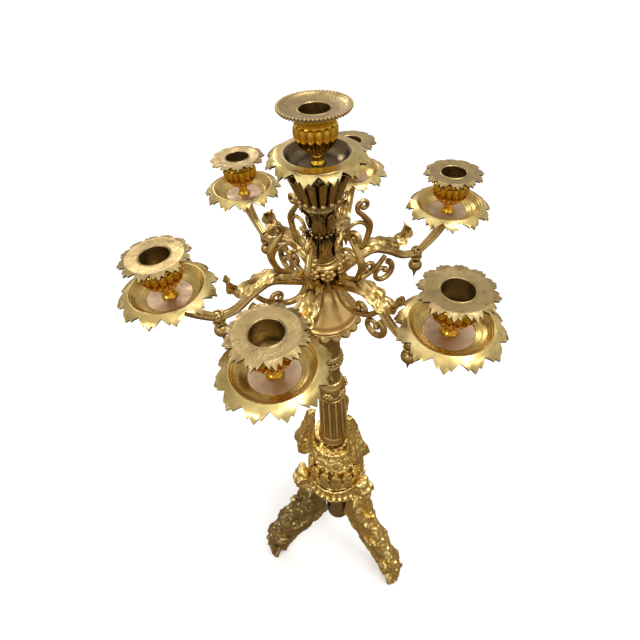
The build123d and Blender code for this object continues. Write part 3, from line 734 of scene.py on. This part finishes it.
def upper_stem():
    """Leafy stem: slim core with two tiers of standing leaves."""
    low, high = level("upper_stem")
    tall = high - low
    side = profile(
        [(AXIS_R, low), (10.5, low), (11.0, low + 3)],
        [(10.5, low + 5), (9.0, low + tall * 0.3), (8.6, low + tall * 0.5), (10.5, low + tall * 0.78)],
        [(13.5, high - 7), (14.6, high - 4), (13.0, high - 1), (12.0, high), (AXIS_R, high)],
        steps=6,
    )
    shape = Shape().lathe(side, 96, lambda r, z, a: (
        r * (1 - (0.12 * (1 - abs(cos(a * 6)) ** 0.6) if low + 4 < z < high - 8 else 0)), z
    ))
    shape.bead_ring(13.6, high - 3.4, 1.8, 16)
    shape.bead_ring(9.6, low + tall * 0.46, 1.3, 14)

    def half_width(t):
        return 5.2 * sin(pi * (0.14 + 0.8 * t)) ** 0.7

    tiers = [(low + 0.5, tall * 0.44, 13.0), (low + tall * 0.56, tall * 0.36, 15.0)]
    for tier, (start, height, reach) in enumerate(tiers):
        spine = curve(planar([
            (9.5, start), (10.4, start + height * 0.35), (10.4, start + height * 0.7),
            (reach, start + height), (reach + 1.2, start + height * 0.9),
        ]), 6)
        leaf_ring(shape, 6, 30 * tier, spine, half_width, 3, 1.4, 0.3, 0.6)
    return shape.roughen(0.3, 0.08)


def rosette(shape, matrix, petals=6, r=5.5):
    """A small flower facing +X before matrix."""
    for k in range(petals):
        angle = 2 * pi * k / petals
        petal = Vector((0.8, r * 0.6 * cos(angle), r * 0.6 * sin(angle)))
        shape.add(Shape().bead(petal, r * 0.42, 0.8, 8, 12), matrix)
    shape.add(Shape().bead((2.0, 0, 0), r * 0.35, 1.0, 8, 12), matrix)


def hub():
    """The boss that the arms are fastened to, with a flower between each pair of arms."""
    low, high = level("arm_hub")
    shape = turned(
        [(AXIS_R, low), (13.0, low), (14.0, low + 2)],
        [(13.4, low + 6), (13.0, low + 14), (13.6, low + 20)],
        [(15.0, high - 8), (14.6, high - 5), (12.0, high - 3), (11.5, high), (AXIS_R, high)],
        steps=5, columns=72,
    )
    angles = sorted(light.angle % 360 for light in ARM_LIGHTS)
    for first, second in zip(angles, angles[1:] + [angles[0] + 360]):
        middle = radians((first + second) / 2)
        matrix = Matrix.Rotation(middle, 4, "Z") @ Matrix.Translation((13.0, 0, high - 12))
        rosette(shape, matrix, 7, 7.5)
    return shape


# ---------------------------------------------------------------- bell, leaf collar, neck and shaft
def bell():
    """Smooth polished bell with a rolled rim."""
    low, high = level("bell")
    tall = high - low
    return turned(
        [(AXIS_R, low), (29.0, low), (30.6, low + 0.8)],
        [(31.4, low + 1.6), (31.4, low + 3.0), (30.4, low + 3.8)],
        [(29.6, low + 4.6), (27.6, low + tall * 0.24), (21.5, low + tall * 0.45), (14.5, low + tall * 0.68),
         (11.2, low + tall * 0.86), (10.8, high), (AXIS_R, high)],
        steps=10,
    )


def leaf_collar():
    """Ruffled collar of leaf lobes with pearls between them, under the bell."""
    low, high = level("leaf_collar")
    tall = high - low
    lobes = 18
    side = profile(
        [(AXIS_R, low), (14.0, low), (17.5, low + tall * 0.15)],
        [(22.0, low + tall * 0.3), (30.0, low + tall * 0.5), (34.3, low + tall * 0.78),
         (33.0, low + tall * 0.95)],
        [(30.0, high), (AXIS_R, high)],
        steps=6,
    )

    def bend(r, z, angle):
        wave = abs(cos(angle * lobes / 2))
        weight = min(1.0, max(0.0, (r - 15) / 16))
        return r * (1 - 0.1 * weight * (1 - wave)), z - 2.2 * weight * wave * (1 if z < high - 0.2 else 0)

    shape = Shape().lathe(side, lobes * 8, bend)
    shape.bead_ring(31.5, low + tall * 0.66, 1.9, lobes)
    return shape.bead_ring(22.0, low + tall * 0.28, 1.5, lobes, pi / lobes)


def neck(node, wide, ends):
    """Waisted turned neck with a reeded middle; ends are its radii at foot and head."""
    low, high = level(node)
    tall = high - low
    foot, head = ends
    side = profile(
        [(AXIS_R, low), (foot, low), (foot + 0.6, low + 1.5), (foot, low + 3)],
        [(foot - 1.2, low + 3.6), (wide, low + tall * 0.4), (wide, low + tall * 0.6),
         (head - 1.2, high - 3.6)],
        [(head, high - 3), (head + 0.6, high - 1.5), (head, high), (AXIS_R, high)],
        steps=6,
    )
    reeds = 12
    return Shape().lathe(side, reeds * 8, lambda r, z, a: (
        r * (1 - (0.07 * (1 - abs(cos(a * reeds / 2))) if low + 3.6 < z < high - 3.6 else 0)), z
    ))


def pearl_ring():
    """Two fillets with a row of pearls between them."""
    low, high = level("pearl_ring")
    middle = (low + high) / 2
    return turned(
        [(AXIS_R, low), (13.6, low), (14.4, low + 1.6), (13.0, low + 3.0)],
        [(12.4, middle - 2), (12.4, middle + 2)],
        [(13.0, high - 3.0), (14.4, high - 1.6), (13.6, high), (AXIS_R, high)],
        steps=4, columns=72,
    ).bead_ring(13.4, middle, 2.6, 18)


def floral_collar():
    """Bulged collar with six flower bosses and leaves between them."""
    low, high = level("floral_collar")
    tall = high - low
    shape = turned(
        [(AXIS_R, low), (14.2, low), (15.4, low + 2), (14.4, low + 4)],
        [(15.0, low + 5), (17.0, low + tall * 0.45), (14.6, low + tall * 0.8)],
        [(13.0, high - 3), (13.6, high - 1.5), (12.6, high), (AXIS_R, high)],
        steps=5, columns=72,
    )
    for k in range(6):
        turn = Matrix.Rotation(radians(30 + 60 * k), 4, "Z")
        rosette(shape, turn @ Matrix.Translation((16.2, 0, low + tall * 0.48)), 6, 6.2)
    return shape.roughen(0.3, 0.1)


def shaft():
    """Fluted shaft with a string of pearls in every flute."""
    low, high = level("shaft")
    flutes = 12
    side = profile(
        [(AXIS_R, low), (17.6, low), (18.0, low + 2)],
        [(17.4, low + 4), (16.6, (low + high) / 2), (15.8, high - 4)],
        [(16.2, high - 2), (15.8, high), (AXIS_R, high)],
        steps=8,
    )

    def bend(r, z, angle):
        if low + 4 < z < high - 4 and r > 5:
            r -= 1.7 * (1 - abs(sin(angle * flutes / 2))) ** 0.6
        return r, z

    shape = Shape().lathe(side, flutes * 8, bend)
    pearls = 18
    for k in range(pearls):
        share = (k + 0.5) / pearls
        shape.bead_ring(16.5 - 1.6 * share, low + 6 + (high - low - 12) * share, 1.75, flutes)
    return shape


def shaft_ring():
    """Smooth torus at the foot of the shaft."""
    low, high = level("shaft_ring")
    middle = (low + high) / 2
    return turned(
        [(AXIS_R, low), (15.0, low), (18.6, low + 2.6), (20.4, middle), (18.6, high - 2.6), (16.5, high),
         (AXIS_R, high)],
        steps=6, columns=72,
    )


COLUMN = [
    (calyx, "calyx", "fluted", "arm_brass", STEM_BRASS),
    (upper_stem, "upper_stem", "leafy", "arm_brass", STEM_BRASS),
    (hub, "arm_hub", "flowered", "arm_brass", ARM_BRASS),
    (bell, "bell", "ornate", "bell_gilt", BELL_GILT),
    *((make, make.__name__, "ornate", "column_brass", COLUMN_BRASS)
      for make in (leaf_collar, pearl_ring, floral_collar, shaft, shaft_ring)),
    (lambda: neck("upper_neck", 12.2, (13.4, 16.0)), "upper_neck", "reeded", "column_brass", COLUMN_BRASS),
    (lambda: neck("lower_neck", 11.2, (13.2, 13.0)), "lower_neck", "reeded", "column_brass", COLUMN_BRASS),
]
for make, node, form, slot, metal in COLUMN:
    finish_piece(make().object(f"{node}_{form}"), slot, metal, node)


# ---------------------------------------------------------------- knop, crown, collar and legs
def knop():
    """Domed knop with a wide pearled edge near its foot."""
    low, high = level("knop")
    shape = turned(
        [(AXIS_R, low), (24.0, low), (27.5, low + 2)],
        [(31.0, low + 6), (34.6, low + 10), (33.4, low + 15), (29.0, low + 22.5), (24.0, low + 29.5),
         (19.5, high - 3.5)],
        [(20.0, high - 2), (19.4, high), (AXIS_R, high)],
        steps=6, columns=120,
    )
    shape.bead_ring(34.0, low + 11, 2.9, 26)
    shape.bead_ring(31.0, low + 20, 2.1, 24, 0.1)
    spine = curve(planar([(32.5, low + 15), (30.5, low + 23), (25.5, low + 30), (21.0, high - 2)]), 5)
    leaf_ring(shape, 12, 15, spine, lambda t: 6.6 * sin(pi * (0.25 + 0.6 * t)), 2, 4.0, 0.15, 0.8)
    return shape


def spool():
    """Swelling body between collar and knop: a smooth foot, then leaves in relief."""
    low, high = level("base_spool")
    tall = high - low
    shape = turned(
        [(AXIS_R, low), (33.6, low), (34.2, low + 3), (33.8, low + 8)],
        [(33.0, low + 9), (34.2, low + tall * 0.3), (32.6, low + tall * 0.55), (29.0, low + tall * 0.8)],
        [(25.0, high - 2), (24.6, high), (AXIS_R, high)],
        steps=6,
    )
    spine = curve(planar([(34.2, low + 10), (35.2, low + 20), (34.0, low + 32), (31.5, low + 43)]), 5)
    leaf_ring(shape, 14, 0, spine, lambda t: 8.6 * sin(pi * (0.25 + 0.6 * t)), 2, 5.0, 0.14, 1.0)
    return shape


def crown():
    """Three stout leaf scrolls round the foot of the shaft on a pearled ring."""
    low, high = level("crown")
    tall = high - low
    shape = turned(
        [(AXIS_R, low), (30.0, low), (31.4, low + 2.5), (30.0, low + 6), (24.0, low + 7), (AXIS_R, low + 7)],
        steps=4, columns=72,
    ).bead_ring(29.5, low + 5, 2.6, 22)

    def leaf_width(t):
        return 13.0 * (1 - 0.5 * t) * sin(pi * (0.25 + 0.6 * t)) ** 0.6

    for angle in LEG_ANGLES:
        bracket = Shape()
        spine = curve(planar([
            (27.0, low + 5), (38.0, low + 6), (43.5, low + tall * 0.18), (41.0, low + tall * 0.34),
            (33.5, low + tall * 0.52), (27.5, low + tall * 0.7), (24.0, low + tall * 0.86), (23.0, high - 2),
        ]), 6)
        bracket.leaf(spine, SIDE, leaf_width, 2, 8.0, 0.4, 1.2)
        web = curve(planar([
            (31.0, low + 6), (33.0, low + tall * 0.2), (31.0, low + tall * 0.45), (27.5, low + tall * 0.75),
        ]), 6)
        bracket.sweep(web, lambda t: (11.0 - 6 * t, 8.5 - 4.5 * t), ROUND)
        roll = spiral((36.5, low + tall * 0.2), 7.0, 2.5, -60, 330)
        bracket.sweep(planar(roll), lambda t: (9.5 - 3 * t, 3.4 - t), ROUND)
        for out, up in ((41.5, 0.08), (43.0, 0.18), (40.5, 0.3), (35.5, 0.44)):
            for across in (-5.5, 5.5):
                bracket.bead((out, across * (1 - up * 0.6), low + tall * up), 3.0)
        shape.add(bracket, Matrix.Rotation(radians(angle), 4, "Z"))
    return shape


def base_collar():
    """Pearled collar with three great knotted bosses over the legs."""
    low, high = level("base_collar")
    rim = low + 24
    shape = turned(
        [(AXIS_R, low), (40.0, low), (42.4, low + 3)],
        [(42.0, low + 8), (40.6, low + 14), (40.2, rim - 2)],
        [(39.0, rim + 0.6), (37.2, rim + 0.4), (35.0, rim - 3), (26.0, rim - 5), (AXIS_R, rim - 5)],
        steps=5,
    )
    shape.bead_ring(42.2, low + 8.5, 3.3, 30)
    tall = high - low
    for angle in LEG_ANGLES:
        boss = Shape()
        middle = Vector((52.0, 0, low + tall * 0.56))
        boss.bead(middle, 11.5, 1.5, 12, 20)
        boss.bead(middle + Vector((-9, 0, -6)), 11.0, 1.2, 12, 20)
        for up, out, size in ((17, 0.5, 7.5), (5, 8.0, 6.5), (-8, 8.5, 6.0), (-18, 5.0, 6.5)):
            for across in (-6.0, 0.0, 6.0):
                spot = middle + Vector((out - abs(across) * 0.5, across, up))
                boss.bead(spot, size * (0.8 if across else 1.0), 1.0, 8, 14)
        for across in (-1, 1):
            curl = spiral((52.0, low + tall * 0.58), 11.0, 3.0, -60, 300 * across)
            boss.sweep([p + SIDE * (9.5 * across) for p in planar(curl)], taper(3.2, 2.6, 2.0), ROUND)
        shape.add(boss, Matrix.Rotation(radians(angle), 4, "Z"))
    return shape


LEG_REACH = 134.0
LEG_HEIGHT = level("leg_1")[1]
# Upper and lower edge of a leg from the core to the foot, the leaf on its knee and its branch, as shares of
# its reach and height
LEG_TOP = [
    (0.17, 0.985), (0.3, 0.985), (0.37, 0.93), (0.42, 0.83), (0.50, 0.75), (0.60, 0.69), (0.73, 0.56),
    (0.87, 0.42), (0.955, 0.29), (0.985, 0.16), (0.96, 0.05),
]
LEG_ARCH = [
    (0.16, 0.62), (0.16, 0.53), (0.22, 0.475), (0.30, 0.41), (0.40, 0.335), (0.50, 0.265), (0.60, 0.20),
    (0.68, 0.14), (0.73, 0.09), (0.76, 0.05), (0.78, 0.015),
]
LEG_KNEE = [(0.30, 0.985), (0.385, 0.95), (0.45, 0.84), (0.56, 0.73), (0.68, 0.63)]
LEG_BRANCH = [(0.40, 0.60), (0.46, 0.70), (0.51, 0.77), (0.548, 0.828)]
# Each side scroll of a leg: its centre, first radius and first angle
LEG_SCROLLS = [((0.40, 0.70), 13.0, 60), ((0.60, 0.46), 14.0, 200), ((0.80, 0.22), 12.0, 20)]
LEG_LEAVES = (0.18, 0.34, 0.5, 0.66, 0.82)


def on_leg(points):
    """Points of a leg given as shares of its reach and height."""
    return planar([(LEG_REACH * out, LEG_HEIGHT * up) for out, up in points])


def leg_plate(top, arch):
    """Deep plate between the leg's edges, with raised borders and a wavy stem along it."""
    def ridge(value, middle, wide):
        return 2.718 ** (-(((value - middle) / wide) ** 2))

    shares = [step / 20 for step in range(21)]
    rows = []
    for i, (high, low) in enumerate(zip(top, arch)):
        t = i / (len(top) - 1)
        side = []
        for share in shares:
            wave = 0.5 + 0.26 * sin(11 * t)
            half = 4.6 + 5.4 * ridge(share, 0.93, 0.09) + 4.2 * ridge(share, 0.06, 0.08)
            half += 4.0 * ridge(share, wave, 0.1) + 1.6 * abs(sin(16 * t + 7 * share))
            side.append((low.lerp(high, share), half * (0.35 if share in (0, 1) else 1)))
        rows.append([p + SIDE * half for p, half in side] + [p - SIDE * half for p, half in reversed(side)])
    return Shape().grid(rows)


def leg_side(shape, top, across):
    """Scrolls with berries and small leaves on one side of a leg; across is -1 or 1."""
    for centre, big, start in LEG_SCROLLS:
        eye = on_leg([centre])[0]
        curl = spiral((eye.x, eye.z), big, 3.0, start, start + 400)
        shape.sweep([p + SIDE * (8.6 * across) for p in planar(curl)], taper(3.0, 2.8, 2.2), ROUND)
        for k in range(5):
            angle = radians(72 * k + start)
            shape.bead(eye + Vector((5 * cos(angle), 10.0 * across, 5 * sin(angle))), 2.6, 1.0, 6, 10)
    last = len(top) - 1
    leaning = Vector((0.5, 0.6 * across, -0.6)).normalized()
    for t in LEG_LEAVES:
        i = int(t * last)
        start = top[i] + SIDE * (5.0 * across)
        tip = top[min(i + 9, last)] + SIDE * (11.0 * across) + Vector((-3, 0, -4))
        middle = start.lerp(tip, 0.5) + SIDE * (3.0 * across)
        spine = curve([start, middle, tip], 6)
        shape.leaf(spine, leaning, lambda u: 6.5 * sin(pi * (0.15 + 0.75 * u)), 3, 5.0, 0.2, 0.8)


def leg_foot(shape):
    """Five claws and the pad that rests on the floor."""
    toe = Vector((LEG_REACH * 0.875, 0, 0))
    for k in range(-2, 3):
        tilt = radians(26 * k)
        outward, sideways = cos(tilt), sin(tilt)
        claw = curve([toe + Vector(p) for p in (
            (-14 * outward, -4 * sideways, 22), (0, 8 * sideways, 18),
            (10 * outward, 13 * sideways, 9), (13 * outward, 15 * sideways, 3.0),
        )], 5)
        shape.sweep(claw, taper(5.0, 4.8, 4.4), ROUND)
    shape.bead(toe + Vector((3, 0, 5)), 9.0, 0.85, 10, 18)


def leg_casting():
    """One foliate leg: a deep plate with raised edges and scrolls, leaves, a branch and pearls over it."""
    top, arch = curve(on_leg(LEG_TOP), 7), curve(on_leg(LEG_ARCH), 7)
    shape = leg_plate(top, arch)
    for across in (-1, 1):
        leg_side(shape, top, across)
    for i in range(3, len(top) - 3, 2):
        spot = top[i] + Vector((-1.0, 3.0 * sin(i * 2.3), -0.5))
        shape.bead(spot, 3.4 + 0.8 * sin(i * 1.7), 1.0, 7, 12)
    knee = curve(on_leg(LEG_KNEE), 6)
    shape.leaf(knee, SIDE, lambda u: 19.0 * sin(pi * (0.34 + 0.56 * u)), 3, 6.0, 0.3, 1.4)
    branch = curve(on_leg(LEG_BRANCH), 6)
    shape.sweep(branch, taper(8.5, 6.5, 4.2), ROUND)
    shape.bead(branch[-1], 4.6, 1.0, 8, 14)
    leg_foot(shape)
    return shape.roughen(1.2, 0.06)


def keep_within(shape, low, high, inner):
    """Holds a casting between two levels and off the core."""
    for p in shape.points:
        p.z = min(max(p.z, low), high)
        if p.x < inner and abs(p.y) < inner:
            p.x = max(p.x, (inner**2 - p.y**2) ** 0.5)
    return shape


def base_core():
    """Turned core that the legs are screwed to."""
    low, high = level("base_core")
    return turned(
        [(AXIS_R, low), (15.0, low), (17.0, low + 3), (19.4, low + 5)],
        [(19.8, low + 10), (18.6, (low + high) / 2), (19.8, high - 6), (19.8, high), (AXIS_R, high)],
        steps=6, columns=60,
    )


GILT_BASE = [
    (knop, "knop", (2.0, 4.6)),
    (spool, "base_spool", (2.2, 5.0)),
    (crown, "crown", (1.8, 5.5)),
    (base_collar, "base_collar", (1.8, 5.5)),
]
for make, node, lumps in GILT_BASE:
    cast = make().object(f"{node}_cast", voxel=0.95, lumps=lumps)
    finish_piece(cast, "base_gilt", BASE_GILT, node)
finish_piece(base_core().object("base_core_turned"), "base_gilt", LEG_BRASS, "base_core")
LEG_CORE_GAP_R = 21.6
leg = keep_within(leg_casting(), -2.0, LEG_HEIGHT - 1.6, LEG_CORE_GAP_R)
# Painted shade: the first leg, at the left front, gets the darker leg brass for the shade it stands in; the
# other two get the gilt
for number, (angle, metal) in enumerate(zip(LEG_ANGLES, (LEG_BRASS, BASE_GILT, BASE_GILT)), start=1):
    turn = Matrix.Rotation(radians(angle), 4, "Z")
    cast = leg.object(f"leg_{number}_foliate", turn, voxel=1.15, lumps=(2.0, 6.0))
    finish_piece(cast, "base_gilt", metal, f"leg_{number}")

for node in ("tie_rod", "tie_nut", "tie_washer", "arm_screws", "leg_screws"):
    plain = frame["nodes"][node]
    plain.data.materials.clear()
    plain.data.materials.append(STEEL)


# ---------------------------------------------------------------- floor, light and camera
def stage_floor():
    """Plain pale floor under the object."""
    mesh = bpy.data.meshes.new("floor")
    half = 60.0
    corners = [(-half, -half, 0), (half, -half, 0), (half, half, 0), (-half, half, 0)]
    mesh.from_pydata(corners, [], [(0, 1, 2, 3)])
    floor = bpy.data.objects.new("floor", mesh)
    bpy.context.scene.collection.objects.link(floor)
    material = bpy.data.materials.new("floor_paper")
    material.use_nodes = True
    shader = material.node_tree.nodes["Principled BSDF"]
    shader.inputs["Base Color"].default_value = (0.93, 0.93, 0.93, 1)
    shader.inputs["Roughness"].default_value = 1.0
    shader.inputs["Specular IOR Level"].default_value = 0.0
    mesh.materials.append(material)
    floor.visible_glossy = False


WARM_WHITE = (1.0, 0.98, 0.95)


def soft_sun(name, place, strength, spread, colour=(1, 1, 1)):
    """Distant soft lamp that shines from place towards the middle of the object."""
    lamp = bpy.data.lights.new(name, "SUN")
    lamp.energy = strength
    lamp.angle = radians(spread)
    lamp.color = colour
    holder = bpy.data.objects.new(name, lamp)
    holder.location = place
    holder.rotation_euler = (-Vector(place)).to_track_quat("-Z", "Y").to_euler()
    bpy.context.scene.collection.objects.link(holder)


# Brightness and warmth of the surroundings: share of the way from straight down to straight up, colour
SURROUNDINGS = [
    (0.0, (0.16, 0.11, 0.06)), (0.30, (0.30, 0.23, 0.15)), (0.47, (0.42, 0.34, 0.25)),
    (0.56, (0.95, 0.92, 0.87)), (0.68, (0.60, 0.57, 0.53)), (0.82, (0.72, 0.70, 0.68)),
    (0.97, (1.5, 1.5, 1.5)),
]


def studio():
    """Pale room with a brown lower half, so that the brass has something to reflect."""
    world = bpy.data.worlds.new("studio")
    world.use_nodes = True
    nodes, links = world.node_tree.nodes, world.node_tree.links
    place = nodes.new("ShaderNodeTexCoord").outputs["Generated"]
    split = nodes.new("ShaderNodeSeparateXYZ")
    links.new(place, split.inputs[0])
    share = nodes.new("ShaderNodeMapRange")
    share.inputs["From Min"].default_value = -1.0
    links.new(split.outputs["Z"], share.inputs["Value"])
    ramp = nodes.new("ShaderNodeValToRGB")
    elements = ramp.color_ramp.elements
    for position, _ in SURROUNDINGS[1:-1]:
        elements.new(position)
    for element, (position, colour) in zip(elements, SURROUNDINGS):
        element.position = position
        element.color = (*colour, 1)
    links.new(share.outputs["Result"], ramp.inputs["Fac"])
    links.new(ramp.outputs["Color"], nodes["Background"].inputs["Color"])
    bpy.context.scene.world = world
    soft_sun("key", (0.5, -0.15, 1.3), 1.1, 22)
    soft_sun("window", (-0.9, 1.2, 0.8), 0.5, 20, WARM_WHITE)
    soft_sun("front", (-0.7, -1.1, 1.0), 0.45, 13, WARM_WHITE)


def camera():
    """Camera near the middle light, looking steeply down the column."""
    data = bpy.data.cameras.new("camera")
    data.sensor_width = 36.0
    data.lens = 24.755
    data.shift_x = -0.0133
    data.shift_y = -0.0462
    yaw, pitch, roll = -0.047, 0.759, -0.054
    ahead = Vector((sin(yaw) * cos(pitch), cos(yaw) * cos(pitch), -sin(pitch)))
    level_right = Vector((cos(yaw), -sin(yaw), 0))
    level_up = level_right.cross(ahead)
    right = level_right * cos(roll) + level_up * sin(roll)
    above = level_up * cos(roll) - level_right * sin(roll)
    turn = Matrix((right, above, -ahead)).transposed().to_4x4()
    place = Matrix.Translation(Vector((16.932, -298.322, 902.957)) * MM)
    holder = bpy.data.objects.new("camera", data)
    holder.matrix_world = Matrix.Rotation(radians(12), 4, "Z") @ place @ turn
    bpy.context.scene.collection.objects.link(holder)
    bpy.context.scene.camera = holder


stage_floor()
studio()
camera()
bpy.context.scene.view_settings.view_transform = "Standard"
